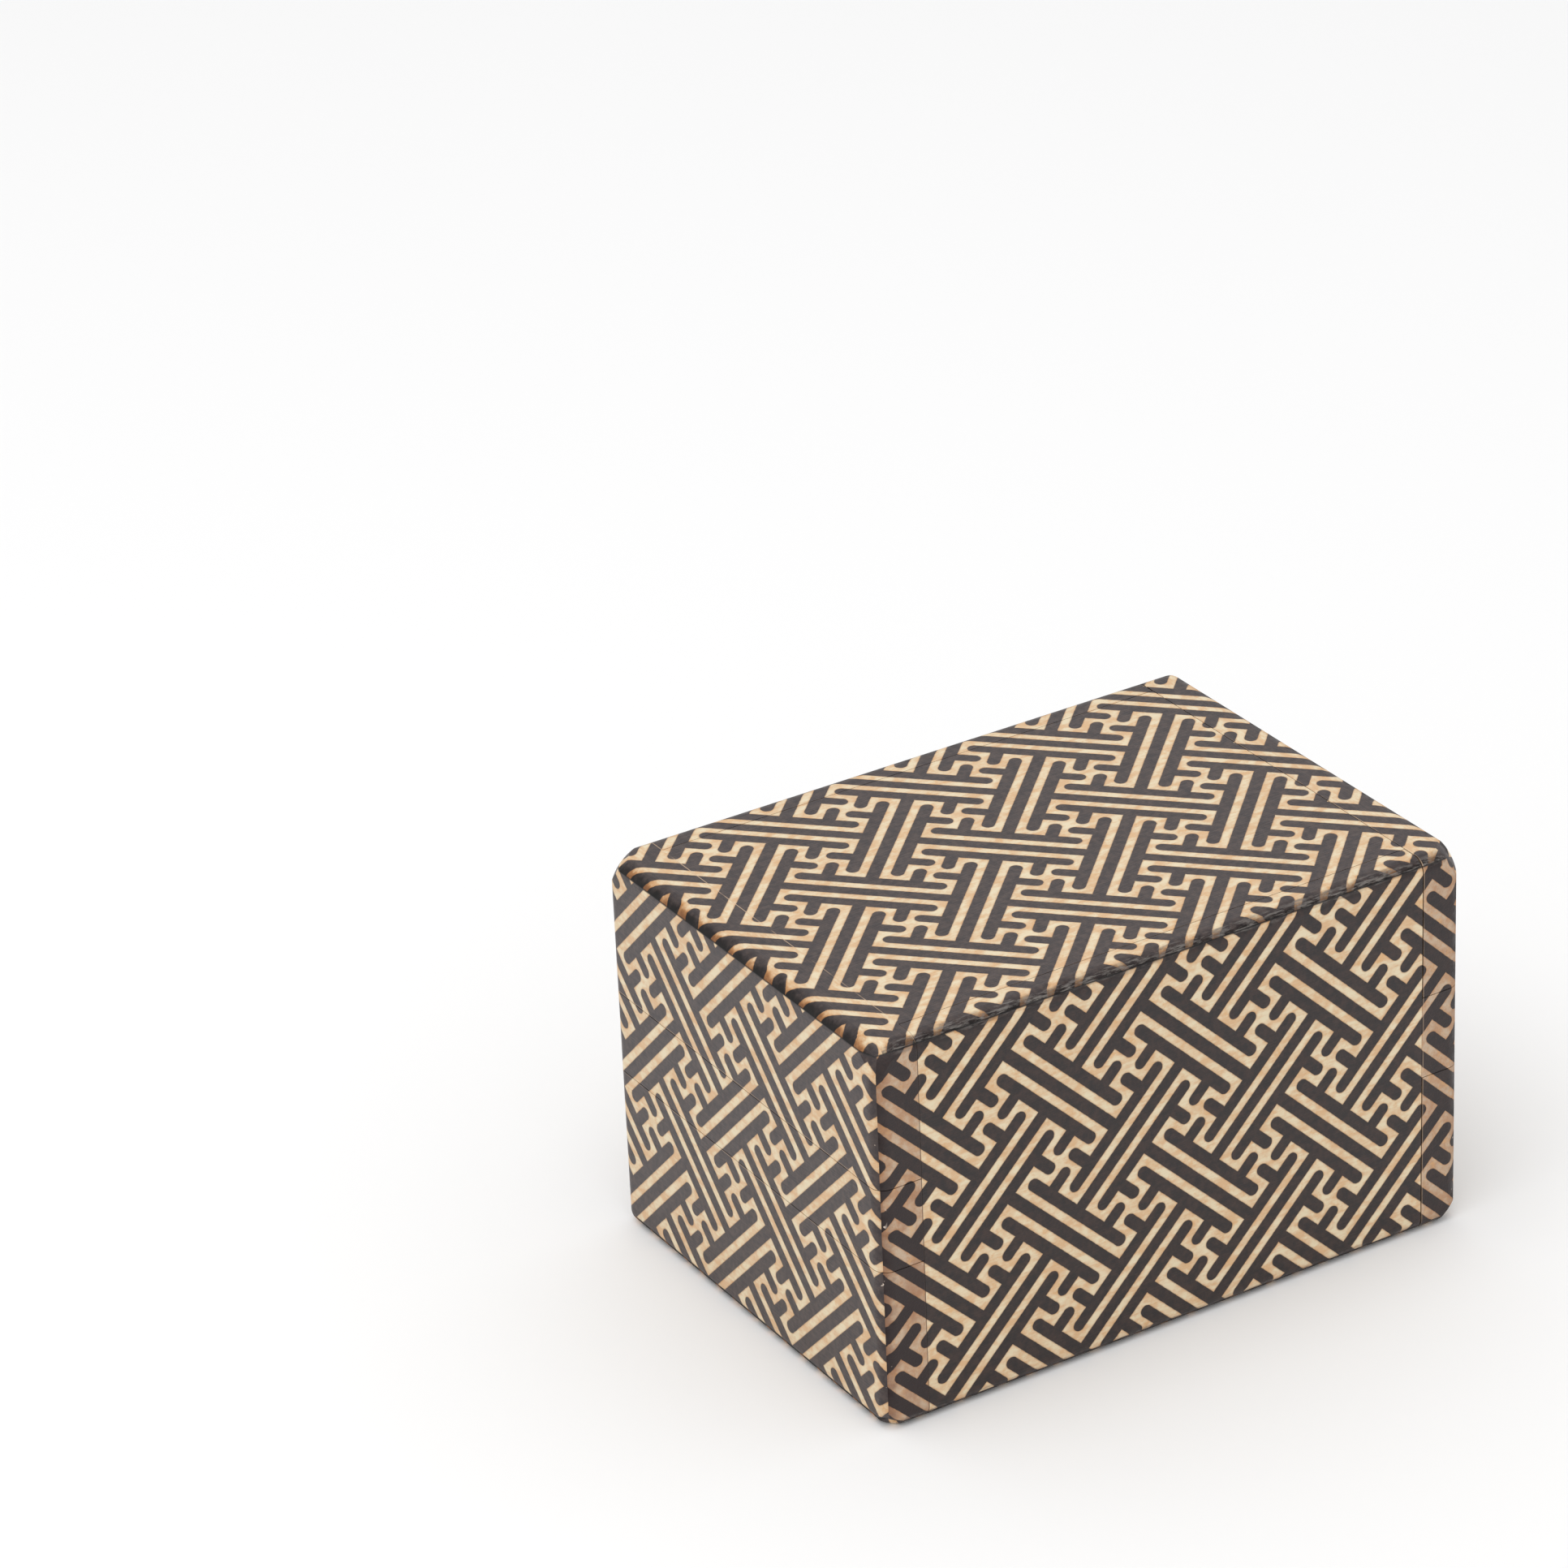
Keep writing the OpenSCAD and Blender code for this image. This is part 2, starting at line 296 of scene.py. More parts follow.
# What handling and sanding did along the edges. The stamp burns hotter where the sheet bends, so
# wood goes orange and the strokes go black. The long edges are smeared and flecked with grey, and
# small chips are out of the upright ones.
edge_wear, given, result = new_group(
    "edge_wear",
    {"Place": "vector", "Corner": "vector", "Owner": "vector", "Turn": "number", "Edge": "number"},
    {
        "Burnt": "number",
        "Charred": "number",
        "Smear": "number",
        "Flecks": "number",
        "Chips": "number",
    },
)
bent = vector(edge_wear, "SIGN", given["Corner"])
stretch = vector(edge_wear, "MULTIPLY_ADD", bent, (0.82, 0.82, 0.82), (0.18, 0.18, 0.18))
along_edge = vector(edge_wear, "MULTIPLY", given["Place"], stretch)
bent_x, bent_y, bent_z = parts(edge_wear, bent)
long_edge = number(edge_wear, "SUBTRACT", number(edge_wear, "MULTIPLY", bent_y, bent_z), bent_x)
upright_edge = number(edge_wear, "SUBTRACT", number(edge_wear, "MULTIPLY", bent_x, bent_y), bent_z)
own_x, own_y, own_z = parts(edge_wear, given["Owner"])
blotches = noise(edge_wear, given["Place"], 0.55, 4.0, 0.6)
blotches = number(edge_wear, "SUBTRACT", blotches, 0.5)
near = number(edge_wear, "MULTIPLY", given["Edge"], 0.8)
near = number(edge_wear, "MAXIMUM", near, given["Turn"])
reach = number(edge_wear, "MULTIPLY_ADD", blotches, 0.8, near)
on_sheet = number(edge_wear, "MULTIPLY_ADD", own_x, -0.7, 1.0)
on_sheet = number(edge_wear, "MULTIPLY_ADD", own_y, -0.2, on_sheet)
burnt = number(edge_wear, "MULTIPLY", step(edge_wear, reach, 0.3, 0.85), on_sheet)
feed(edge_wear, result["Burnt"], burnt)
charred = number(edge_wear, "MULTIPLY", step(edge_wear, reach, 0.55, 1.0), on_sheet)
feed(edge_wear, result["Charred"], charred)
streaks = noise(edge_wear, along_edge, 1.1, 3.0, 0.6)
smear = number(edge_wear, "ADD", number(edge_wear, "SUBTRACT", streaks, 0.5), given["Turn"])
smear = number(edge_wear, "MULTIPLY", step(edge_wear, smear, 0.2, 0.75), long_edge)
feed(edge_wear, result["Smear"], number(edge_wear, "MAXIMUM", smear, 0.0))
flecks = step(edge_wear, noise(edge_wear, along_edge, 2.0, 4.0, 0.7), 0.44, 0.62)
flecks = number(edge_wear, "MULTIPLY", flecks, number(edge_wear, "MAXIMUM", smear, 0.0))
feed(edge_wear, result["Flecks"], flecks)
chips = step(edge_wear, noise(edge_wear, given["Place"], 0.37, 3.0, 0.6), 0.655, 0.675)
on_corner = step(edge_wear, given["Turn"], 0.35, 0.6)
chips = number(edge_wear, "MULTIPLY", chips, on_corner)
chips = number(edge_wear, "MULTIPLY", chips, upright_edge)
feed(edge_wear, result["Chips"], number(edge_wear, "MAXIMUM", chips, 0.0))

# Hairlines where two pieces meet: the stamp misses the very edge of each, so raw wood shows. They
# follow the ends of the long walls and the lid, the lid's long sides, and the key bars, a little
# way out from each seam. The right end's line is furthest out, and it fades towards the back.
wall_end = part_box("front_wall")[1][0] / MM
lid_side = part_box("lid_board")[1][1] / MM
key_low, key_high = (corner[2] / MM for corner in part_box("left_key_bar"))
end_line_out = 0.22
end_line_shift = 0.11
lid_line_out = 0.05
key_line_out = 0.27

hairlines, given, result = new_group(
    "hairlines", {"Place": "vector", "Owner": "vector"}, {"Line": "number", "Crack": "number"}
)
x, y, z = parts(hairlines, given["Place"])
own_x, own_y, own_z = parts(hairlines, given["Owner"])
off_end = number(hairlines, "ABSOLUTE", x)
right_or_left = number(hairlines, "SIGN", x)
line_at = wall_end + end_line_out
line_at = number(hairlines, "MULTIPLY_ADD", right_or_left, end_line_shift, line_at)
off_line = number(hairlines, "ABSOLUTE", number(hairlines, "SUBTRACT", off_end, line_at))
end_line = step(hairlines, off_line, 0.11, 0.04)
crack = number(hairlines, "MULTIPLY", end_line, number(hairlines, "LESS_THAN", x, 0.0))
crack = number(hairlines, "MULTIPLY", crack, own_y)
feed(hairlines, result["Crack"], crack)
end_line = number(hairlines, "MULTIPLY", end_line, number(hairlines, "SUBTRACT", 1.0, own_x))
fainter = number(hairlines, "MULTIPLY_ADD", own_y, -0.45, 1.0)
end_line = number(hairlines, "MULTIPLY", end_line, fainter)
end_line = number(hairlines, "SUBTRACT", end_line, crack)
far_back = step(hairlines, y, -20.0, 25.0)
far_right = number(hairlines, "MULTIPLY", step(hairlines, x, 0.0, 1.0), far_back)
end_line = number(hairlines, "MULTIPLY", end_line, number(hairlines, "SUBTRACT", 1.0, far_right))
line_at = lid_side + lid_line_out
off_line = number(hairlines, "SUBTRACT", number(hairlines, "ABSOLUTE", y), line_at)
lid_line = step(hairlines, number(hairlines, "ABSOLUTE", off_line), 0.12, 0.04)
on_lid = number(hairlines, "LESS_THAN", off_end, wall_end)
lid_line = number(hairlines, "MULTIPLY", number(hairlines, "MULTIPLY", lid_line, on_lid), own_z)
lid_line = number(hairlines, "MULTIPLY", lid_line, 0.3)
key_middle = (key_low + key_high) / 2
line_at = (key_high - key_low) / 2 + key_line_out
off_line = number(hairlines, "ABSOLUTE", number(hairlines, "SUBTRACT", z, key_middle))
off_line = number(hairlines, "ABSOLUTE", number(hairlines, "SUBTRACT", off_line, line_at))
key_line = step(hairlines, off_line, 0.12, 0.04)
on_end = number(hairlines, "GREATER_THAN", off_end, wall_end)
on_end = number(hairlines, "MULTIPLY", on_end, own_x)
key_line = number(hairlines, "MULTIPLY", number(hairlines, "MULTIPLY", key_line, on_end), 0.5)
broken = step(hairlines, noise(hairlines, given["Place"], 0.13, 3.0, 0.6), 0.36, 0.6)
line = number(hairlines, "MAXIMUM", number(hairlines, "MAXIMUM", end_line, lid_line), key_line)
feed(hairlines, result["Line"], number(hairlines, "MULTIPLY", line, broken))

# Pale wood with its grain along X: fibres, clouds from light to deep, which are streaks where
# Mottle is small, growth bands, pores as short dark dashes, and end grain, which soaks up more
# and so is pinker, darker and dotted.
wood, given, result = new_group(
    "pale_wood",
    {
        "Place": "vector",
        "End Grain": "number",
        "Light": "colour",
        "Deep": "colour",
        "Bands": "number",
        "Pores": "number",
        "Mottle": "number",
    },
    {"Colour": "colour", "Height": "number", "Pore": "number"},
)
place = given["Place"]
end_grain = given["End Grain"]
fibres = noise(wood, vector(wood, "MULTIPLY", place, (0.06, 1.0, 1.0)), 3.2, 3.0)
mottle = vector(wood, "MULTIPLY", place, joined(wood, given["Mottle"], 1.0, 1.0))
clouds = noise(wood, mottle, 0.42, 4.0, 0.65)
sway = noise(wood, vector(wood, "MULTIPLY", place, (0.04, 1.0, 1.0)), 0.12, 2.0)
_, place_y, place_z = parts(wood, place)
ring = number(wood, "MULTIPLY_ADD", sway, 26.0, number(wood, "ADD", place_y, place_z))
ring = step(wood, number(wood, "SINE", number(wood, "MULTIPLY", ring, 1.9)), 0.1, 1.0)
amount = step(wood, clouds, 0.36, 0.66)
amount = number(wood, "MULTIPLY_ADD", number(wood, "SUBTRACT", fibres, 0.5), 0.9, amount)
amount = number(wood, "MULTIPLY_ADD", ring, given["Bands"], amount)
amount = number(wood, "MINIMUM", number(wood, "MAXIMUM", amount, 0.0), 1.0)
colour = mixed(wood, amount, given["Light"], given["Deep"])
stained = vector(wood, "MULTIPLY", colour, (0.67, 0.58, 0.59))
colour = mixed(wood, number(wood, "MULTIPLY", end_grain, 0.9), colour, stained)
dash = vector(wood, "MULTIPLY", place, (0.16, 2.0, 2.0))
pore = step(wood, noise(wood, dash, 2.4, 1.0), 0.66, 0.74)
dots = noise(wood, vector(wood, "MULTIPLY", place, (0.1, 1.0, 1.0)), 4.5, 1.0)
dots = step(wood, dots, 0.60, 0.70)
pore = number(wood, "MAXIMUM", pore, number(wood, "MULTIPLY", dots, end_grain))
pore = number(wood, "MULTIPLY", pore, given["Pores"])
in_pore = vector(wood, "MULTIPLY", colour, (0.4, 0.3, 0.24))
feed(wood, result["Colour"], mixed(wood, pore, colour, in_pore))
feed(wood, result["Pore"], pore)
height = number(wood, "MULTIPLY_ADD", pore, -0.05, number(wood, "MULTIPLY", fibres, 0.05))
feed(wood, result["Height"], height)

grain_turns = {"x": (0, 0, 0), "y": (0, 0, math.pi / 2), "z": (0, math.pi / 2, 0)}
new_wood = {"Light": (0.79, 0.60, 0.38, 1.0), "Deep": (0.64, 0.40, 0.21, 1.0)}
aged_wood = {"Light": (0.775, 0.66, 0.455, 1.0), "Deep": (0.68, 0.44, 0.24, 1.0)}


def turned(tree, value, grain):
    """A place or a direction turned so that the grain runs along X."""
    node = tree.nodes.new("ShaderNodeMapping")
    node.inputs["Rotation"].default_value = grain_turns[grain]
    feed(tree, node.inputs["Vector"], value)
    return node.outputs[0]


def new_finish(name, grain):
    """A material for wood: its tree, shader and place in millimetres, and a wood's first values."""
    material = bpy.data.materials.new(name)
    material.use_nodes = True
    tree = material.node_tree
    coordinates = tree.nodes.new("ShaderNodeTexCoord").outputs
    place = scaled(tree, coordinates["Object"], 1 / MM)
    facing, _, _ = parts(tree, turned(tree, coordinates["Normal"], grain))
    end_grain = step(tree, number(tree, "ABSOLUTE", facing), 0.55, 0.85)
    values = {"Place": turned(tree, place, grain), "End Grain": end_grain}
    return material, tree, tree.nodes["Principled BSDF"], place, values


def raise_surface(tree, shader, height):
    """Feeds a height in millimetres to the shader's normal through a Bump node."""
    bump = tree.nodes.new("ShaderNodeBump")
    bump.inputs["Distance"].default_value = MM
    feed(tree, bump.inputs["Height"], height)
    feed(tree, shader.inputs["Normal"], bump.outputs["Normal"])


def tinted(tree, colour, mask, strength, tint):
    """A colour with a tint over it, as strongly as the mask times the strength."""
    return mixed(tree, number(tree, "MULTIPLY", mask, strength), colour, tint)


# How sharp the strokes' edges are and how wide the browned rim beside them is, in the fret's own
# units, and the colours of the print, its painted shade on the long walls, the darker wood beside
# the edges, and what heat, soot and handling did to it and the wood.
stroke_softness = 0.02
rim_from = 0.01
rim_to = 0.075
stamp = {
    "thick ink": (0.026, 0.016, 0.017, 1.0),
    "thin ink": (0.064, 0.042, 0.036, 1.0),
    # Painted shade: the ink on the long front and back walls is darker.
    "thick ink in painted wall shade": (0.010, 0.005, 0.005, 1.0),
    "thin ink in painted wall shade": (0.034, 0.016, 0.012, 1.0),
    "black ink": (0.0035, 0.0022, 0.0018, 1.0),
    "sunk ink": (0.011, 0.001, 0.0008, 1.0),
    "browned rim": (0.50, 0.215, 0.06, 1.0),
    "amber patch": (0.68, 0.38, 0.15, 1.0),
    "burnt wood": (0.50, 0.22, 0.065, 1.0),
    "charred wood": (0.15, 0.055, 0.02, 1.0),
    "stained wood": (0.30, 0.12, 0.05, 1.0),
    # Darker wood beside the edges of the end-grain strips.
    "darkened edge wood": (0.20, 0.10, 0.06, 1.0),
    "soot": (0.055, 0.035, 0.025, 1.0),
    "scorched seam": (0.055, 0.026, 0.014, 1.0),
    "grey fleck": (0.21, 0.19, 0.175, 1.0),
    "chip": (0.66, 0.54, 0.45, 1.0),
    "hairline": (0.62, 0.43, 0.28, 1.0),
    "crack": (0.03, 0.015, 0.01, 1.0),
    "crease": (0.004, 0.003, 0.003, 1.0),
}


def scorched_timber(tree, place, timber, rim, wear):
    """The wood between the strokes: browned beside them, amber in patches, burnt at the edges."""
    timber = tinted(tree, timber, rim, 0.38, stamp["browned rim"])
    patches = step(tree, noise(tree, place, 0.55, 4.0, 0.65), 0.54, 0.70)
    timber = tinted(tree, timber, patches, 0.5, stamp["amber patch"])
    timber = tinted(tree, timber, wear["Burnt"], 0.85, stamp["burnt wood"])
    timber = tinted(tree, timber, wear["Charred"], 0.85, stamp["charred wood"])
    return tinted(tree, timber, wear["Smear"], 0.75, stamp["soot"])


def stroke_ink(tree, place, on_walls, wear):
    """The strokes' ink: thick and thin in clouds, painted shade on the long walls, black at the
    edges.
    """
    # Painted shade: the ink on the long front and back walls is darker than on the top and the
    # ends.
    thick_ink = mixed(tree, on_walls, stamp["thick ink"], stamp["thick ink in painted wall shade"])
    thin_ink = mixed(tree, on_walls, stamp["thin ink"], stamp["thin ink in painted wall shade"])
    clouds = step(tree, noise(tree, place, 0.8, 5.0, 0.65), 0.34, 0.7)
    ink = mixed(tree, clouds, thick_ink, thin_ink)
    scorching = number(tree, "ADD", wear["Burnt"], wear["Charred"])
    return tinted(tree, ink, scorching, 0.5, stamp["black ink"])


def soaked(tree, place, edge, end_grain, soak, timber, ink):
    """Timber and ink where end grain faces out: stained in patches, and darker beside the edges."""
    stain = step(tree, noise(tree, place, 0.16, 3.0, 0.6), 0.48, 0.68)
    stain = number(tree, "MULTIPLY", number(tree, "MULTIPLY", stain, end_grain), soak)
    timber = tinted(tree, timber, stain, 0.55, stamp["stained wood"])
    # The timber darkens in ragged patches beside the edges.
    edge_darkening = number(tree, "SUBTRACT", noise(tree, place, 0.45, 4.0, 0.6), 0.5)
    edge_darkening = step(tree, number(tree, "MULTIPLY_ADD", edge_darkening, 1.2, edge), 0.2, 0.9)
    edge_darkening = number(tree, "MULTIPLY", number(tree, "MULTIPLY", edge_darkening, end_grain), soak)
    timber = tinted(tree, timber, edge_darkening, 0.8, stamp["darkened edge wood"])
    sunk = number(tree, "MULTIPLY", end_grain, 0.9 * soak)
    sunk = number(tree, "MAXIMUM", sunk, number(tree, "MAXIMUM", stain, edge_darkening))
    return timber, mixed(tree, sunk, ink, stamp["sunk ink"])


def stamped(node_name, grain, shift=(0.0, 0.0, 0.0), soak=0.0):
    """The finish of an outer piece. Its stamped fret may be a little off its neighbours', and where
    its end grain faces out, the heat and the ink soak in. Inside it is plain new wood."""
    material, tree, shader, place, values = new_finish(node_name + "_stamped", grain)
    inside = use(tree, wood, dict(values, Bands=0.3, Pores=0.35, Mottle=0.05, **new_wood))
    here = use(tree, faces, {"Place": place, "Shift": shift})
    scorch = step(tree, noise(tree, place, 0.5, 4.0), 0.2, 0.5)
    scorch = number(tree, "MULTIPLY", here["Rim"], scorch)
    inside_colour = tinted(tree, inside["Colour"], scorch, 0.85, stamp["scorched seam"])
    _, on_walls, _ = parts(tree, here["Owner"])
    if soak:
        values["End Grain"] = on_walls
    outer_wood = use(tree, wood, dict(values, Bands=0.08, Pores=0.12, Mottle=0.6, **aged_wood))
    wear = {key: here[key] for key in ("Corner", "Owner", "Turn", "Edge")}
    wear = use(tree, edge_wear, dict(wear, Place=place))
    line = use(tree, hairlines, {"Place": place, "Owner": here["Owner"]})

    # The strokes are ragged, and spread where the edge is burnt.
    distance = use(tree, fret, {"Place": here["Sheet"]})["Distance"]
    ragged = number(tree, "SUBTRACT", noise(tree, place, 1.6, 3.0), 0.5)
    distance = number(tree, "MULTIPLY_ADD", ragged, 0.035, distance)
    distance = number(tree, "MULTIPLY_ADD", wear["Burnt"], -0.07, distance)
    inked = step(tree, distance, stroke_half + stroke_softness, stroke_half - stroke_softness)
    rim = number(tree, "MULTIPLY_ADD", wear["Burnt"], -0.06, distance)
    rim = step(tree, rim, stroke_half + rim_to, stroke_half + rim_from)

    timber = scorched_timber(tree, place, outer_wood["Colour"], rim, wear)
    ink = stroke_ink(tree, place, on_walls, wear)
    if soak:
        timber, ink = soaked(tree, place, here["Edge"], on_walls, soak, timber, ink)
    surface = mixed(tree, inked, timber, ink)
    surface = tinted(tree, surface, wear["Flecks"], 0.75, stamp["grey fleck"])
    surface = mixed(tree, wear["Chips"], surface, stamp["chip"])
    surface = tinted(tree, surface, line["Line"], 0.75, stamp["hairline"])
    surface = tinted(tree, surface, line["Crack"], 0.6, stamp["crack"])
    surface = tinted(tree, surface, here["Crease"], 0.8, stamp["crease"])
    feed(tree, shader.inputs["Base Color"], mixed(tree, here["Outside"], inside_colour, surface))

    # Ink is a little shinier than wood. Smeared, burnt and bare wood is duller.
    dull = number(tree, "MULTIPLY_ADD", noise(tree, place, 0.25, 4.0, 0.7), 0.24, 0.34)
    dull = number(tree, "MULTIPLY_ADD", inked, -0.06, dull)
    dull = number(tree, "MULTIPLY_ADD", wear["Smear"], 0.12, dull)
    dull = number(tree, "MULTIPLY_ADD", wear["Burnt"], 0.5, dull)
    bare = number(tree, "SUBTRACT", 1.0, here["Outside"])
    feed(tree, shader.inputs["Roughness"], number(tree, "MULTIPLY_ADD", bare, 0.16, dull))

    # The stamp presses the strokes in, and flecks and chips are torn out.
    pressed = number(tree, "MULTIPLY", number(tree, "MULTIPLY", inked, here["Outside"]), -0.03)
    torn = number(tree, "MULTIPLY", number(tree, "ADD", wear["Flecks"], wear["Chips"]), -0.06)
    height = number(tree, "ADD", number(tree, "ADD", pressed, torn), outer_wood["Height"])
    raise_surface(tree, shader, height)
    return material


def finish(node_name, material):
    """Puts a material in a node's slot."""
    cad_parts[node_name].material_slots[0].material = material


for node_name in ("front_wall", "back_wall"):
    finish(node_name, stamped(node_name, "x"))


# Base board. A linden board let into the long walls on glued tongues. Its stamped underside is
# what the box stands on.
finish("base_board", stamped("base_board", "x"))


# Right bars. Two linden bars glued across the right end on long tenons, over and under the right
# key. They were stamped a hair out of line with the rest, and their end grain faces front and back.
right_shift = (0.0, 0.3, 0.1)
for node_name in ("right_upper_bar", "right_lower_bar"):
    finish(node_name, stamped(node_name, "y", right_shift, soak=0.5))


# Lid. A linden board with a bar glued across its left end, which covers the upper end of the box
# when the lid is shut. It was stamped in place, so its fret lines up with the walls.
finish("lid_board", stamped("lid_board", "x", (0.0, 0.05, 0.0)))
finish("lid_end_bar", stamped("lid_end_bar", "y", soak=0.6))


# Key bars. One linden bar across each end, which slides a little towards one long wall to free
# the lid or the drawer. Fingers have rubbed the left one most.
finish("left_key_bar", stamped("left_key_bar", "y", (0.0, 0.1, 0.0), soak=0.9))
finish("right_key_bar", stamped("right_key_bar", "y", right_shift, soak=0.5))


# Drawer front. A linden bar that looks like the lowest part of the left end. The drawer's sides
# and bottom are glued into its back.
finish("drawer_front", stamped("drawer_front", "y", soak=1.0))


# Inner end walls, lid batten and drawer stop. Plain linden, sanded and left bare inside the box,
# with the marks of a coarse belt across the grain. Glued between the long walls.
def plain(node_name, grain, bands=0.4, **colours):
    """The finish of a piece of plain sanded linden."""
    material, tree, shader, place, values = new_finish(node_name + "_plain", grain)
    colours = colours or new_wood
    here = use(tree, wood, dict(values, Bands=bands, Pores=0.5, Mottle=0.05, **colours))
    belt = noise(tree, vector(tree, "MULTIPLY", values["Place"], (3.0, 0.12, 0.12)), 1.6, 3.0, 0.7)
    tone = number(tree, "MULTIPLY_ADD", number(tree, "SUBTRACT", belt, 0.5), 0.07, 1.0)
    feed(tree, shader.inputs["Base Color"], scaled(tree, here["Colour"], tone))
    dull = number(tree, "MULTIPLY_ADD", noise(tree, place, 0.2, 3.0), 0.2, 0.5)
    feed(tree, shader.inputs["Roughness"], number(tree, "MULTIPLY_ADD", here["Pore"], 0.15, dull))
    raise_surface(tree, shader, number(tree, "MULTIPLY_ADD", belt, 0.03, here["Height"]))
    return material


for node_name in ("left_inner_wall", "right_inner_wall", "lid_stop_batten", "drawer_stop"):
    finish(node_name, plain(node_name, "y"))


# Drawer sides, tail and catch. Plain linden glued up round the bottom, a little paler than the
# inner walls. The catch is a forked block on the tail, which straddles the right key's peg.
drawer_wood = {"Light": (0.82, 0.64, 0.42, 1.0), "Deep": (0.68, 0.46, 0.26, 1.0)}
for node_name in ("drawer_side_front", "drawer_side_back"):
    finish(node_name, plain(node_name, "x", 0.3, **drawer_wood))
for node_name in ("drawer_tail", "drawer_catch"):
    finish(node_name, plain(node_name, "y", 0.3, **drawer_wood))


# False floor and drawer bottom. Thin birch board, sealed with one thin coat, so it is paler and
# smoother than the linden and has a faint rippled figure. Both are let into grooves all round.
def thin_board(node_name):
    """The finish of a thin birch board: veneer figure on its faces, and plies on its edges."""
    material, tree, shader, place, values = new_finish(node_name + "_birch", "x")
    birch = {"Light": (0.86, 0.70, 0.50, 1.0), "Deep": (0.76, 0.56, 0.36, 1.0)}
    glue_line = (0.33, 0.18, 0.08, 1.0)
    ply_thickness = 0.8
    here = use(tree, wood, dict(values, Bands=0.25, Pores=0.3, Mottle=0.09, **birch))
    ripple = noise(tree, vector(tree, "MULTIPLY", place, (1.0, 0.3, 1.0)), 0.3, 2.0, 0.4)
    tone = number(tree, "MULTIPLY_ADD", number(tree, "SUBTRACT", ripple, 0.5), 0.12, 1.0)
    colour = scaled(tree, here["Colour"], tone)
    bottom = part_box(node_name)[0][2] / MM
    _, _, z = parts(tree, place)
    ply = number(tree, "PINGPONG", number(tree, "SUBTRACT", z, bottom), ply_thickness)
    glue = step(tree, ply, 0.1, 0.04)
    colour = tinted(tree, colour, glue, 0.7, glue_line)
    feed(tree, shader.inputs["Base Color"], colour)
    dull = number(tree, "MULTIPLY_ADD", noise(tree, place, 0.2, 3.0), 0.18, 0.36)
    feed(tree, shader.inputs["Roughness"], dull)
    raise_surface(tree, shader, number(tree, "MULTIPLY_ADD", glue, -0.03, here["Height"]))
    return material


for node_name in ("false_floor", "drawer_bottom"):
    finish(node_name, thin_board(node_name))


# Runners, key tongues, pegs and arm. Beech, harder and redder than linden, with short dark flecks.
# Each is glued to its lid or key bar and slides in a slot, so its faces are rubbed shiny in lines.
def beech(node_name, grain):
    """The finish of a small beech piece."""
    material, tree, shader, place, values = new_finish(node_name + "_beech", grain)
    beech_wood = {"Light": (0.62, 0.36, 0.20, 1.0), "Deep": (0.47, 0.24, 0.12, 1.0)}
    fleck = (0.25, 0.11, 0.05, 1.0)
    here = use(tree, wood, dict(values, Bands=0.3, Pores=0.2, Mottle=0.08, **beech_wood))
    dashes = vector(tree, "MULTIPLY", values["Place"], (0.5, 2.2, 2.2))
    ray = step(tree, noise(tree, dashes, 1.5, 1.0), 0.60, 0.70)
    colour = tinted(tree, here["Colour"], ray, 0.6, fleck)
    rubbed = noise(tree, vector(tree, "MULTIPLY", place, (0.5, 0.05, 2.0)), 1.4, 3.0, 0.6)
    rubbed = step(tree, rubbed, 0.45, 0.7)
    tone = number(tree, "MULTIPLY_ADD", rubbed, -0.15, 1.0)
    feed(tree, shader.inputs["Base Color"], scaled(tree, colour, tone))
    feed(tree, shader.inputs["Roughness"], number(tree, "MULTIPLY_ADD", rubbed, -0.2, 0.55))
    raise_surface(tree, shader, number(tree, "MULTIPLY_ADD", ray, -0.03, here["Height"]))
    return material


beech_grain = {
    "lid_runner_front": "x",
    "lid_runner_back": "x",
    "left_key_tongue": "y",
    "right_key_tongue": "y",
    "left_key_upper_peg": "z",
    "left_key_lower_peg": "z",
    "right_key_arm": "z",
    "right_key_catch_peg": "x",
}
for node_name, grain in beech_grain.items():
    finish(node_name, beech(node_name, grain))


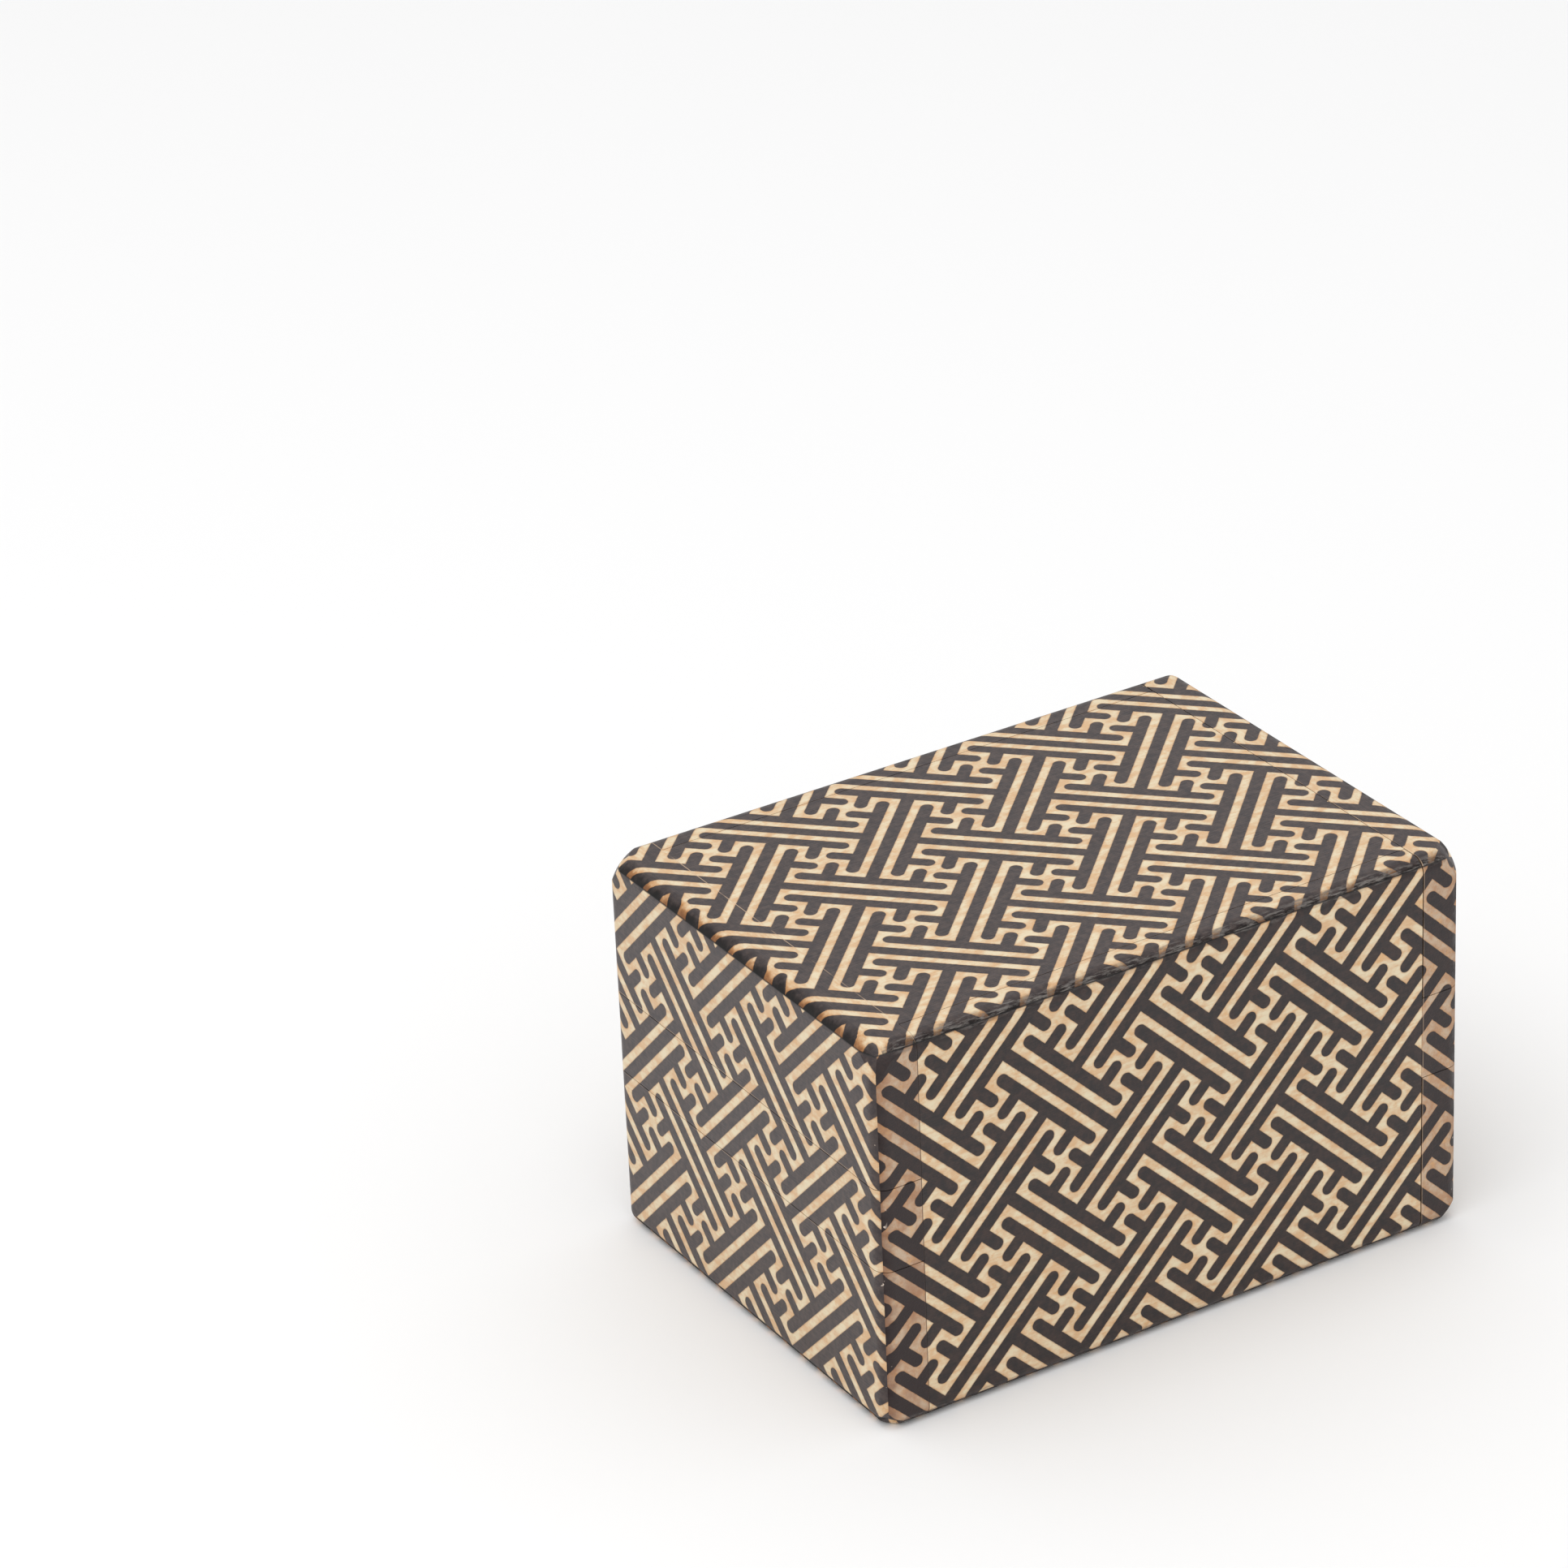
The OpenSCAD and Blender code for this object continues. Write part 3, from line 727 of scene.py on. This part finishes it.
# Camera. A long lens well back from the box, so that its edges stay nearly parallel. It stands to
# the left of the front face and above it, and leans a little.
azimuth = math.radians(30.79)
elevation = math.radians(27.35)
lean = math.radians(-2.57)
stand_off = 1.1045
aim = Vector((-0.0253, 0.0397, 0.0779))
towards_camera = Vector(
    (
        -math.sin(azimuth) * math.cos(elevation),
        -math.cos(azimuth) * math.cos(elevation),
        math.sin(elevation),
    )
)
lens = bpy.data.cameras.new("camera")
lens.sensor_width = 36.0
lens.lens = 145.1
lens.clip_end = 20.0
camera = bpy.data.objects.new("camera", lens)
upright = towards_camera.to_track_quat("Z", "Y").to_matrix()
camera.matrix_world = Matrix.Translation(aim + stand_off * towards_camera) @ (
    upright @ Matrix.Rotation(lean, 3, "Z")
).to_4x4()
bpy.context.scene.collection.objects.link(camera)
bpy.context.scene.camera = camera


# Room. A plain near-white floor, an even white sky, and one broad soft lamp from the upper left.
floor_mesh = bpy.data.meshes.new("floor")
floor_side = 6.0
floor_mesh.from_pydata(
    [(x * floor_side, y * floor_side, 0.0) for x, y in ((-1, -1), (1, -1), (1, 1), (-1, 1))],
    [],
    [(0, 1, 2, 3)],
)
floor = bpy.data.objects.new("floor", floor_mesh)
bpy.context.scene.collection.objects.link(floor)
floor_paint = bpy.data.materials.new("floor_paint")
floor_paint.use_nodes = True
floor_shader = floor_paint.node_tree.nodes["Principled BSDF"]
floor_shader.inputs["Base Color"].default_value = (0.95, 0.95, 0.95, 1.0)
floor_shader.inputs["Roughness"].default_value = 0.9
floor_mesh.materials.append(floor_paint)

world = bpy.data.worlds.new("studio")
world.use_nodes = True
world.node_tree.nodes["Background"].inputs["Color"].default_value = (1.0, 1.0, 1.0, 1.0)
world.node_tree.nodes["Background"].inputs["Strength"].default_value = 0.83
bpy.context.scene.world = world
bpy.context.scene.view_settings.view_transform = "Standard"

lamp = bpy.data.lights.new("softbox", "AREA")
lamp.shape = "RECTANGLE"
lamp.size = 1.2
lamp.size_y = 1.2
lamp.energy = 8.0
softbox = bpy.data.objects.new("softbox", lamp)
softbox.location = (-0.5, -0.25, 1.45)
softbox.rotation_euler = softbox.location.to_track_quat("Z", "Y").to_euler()
bpy.context.scene.collection.objects.link(softbox)
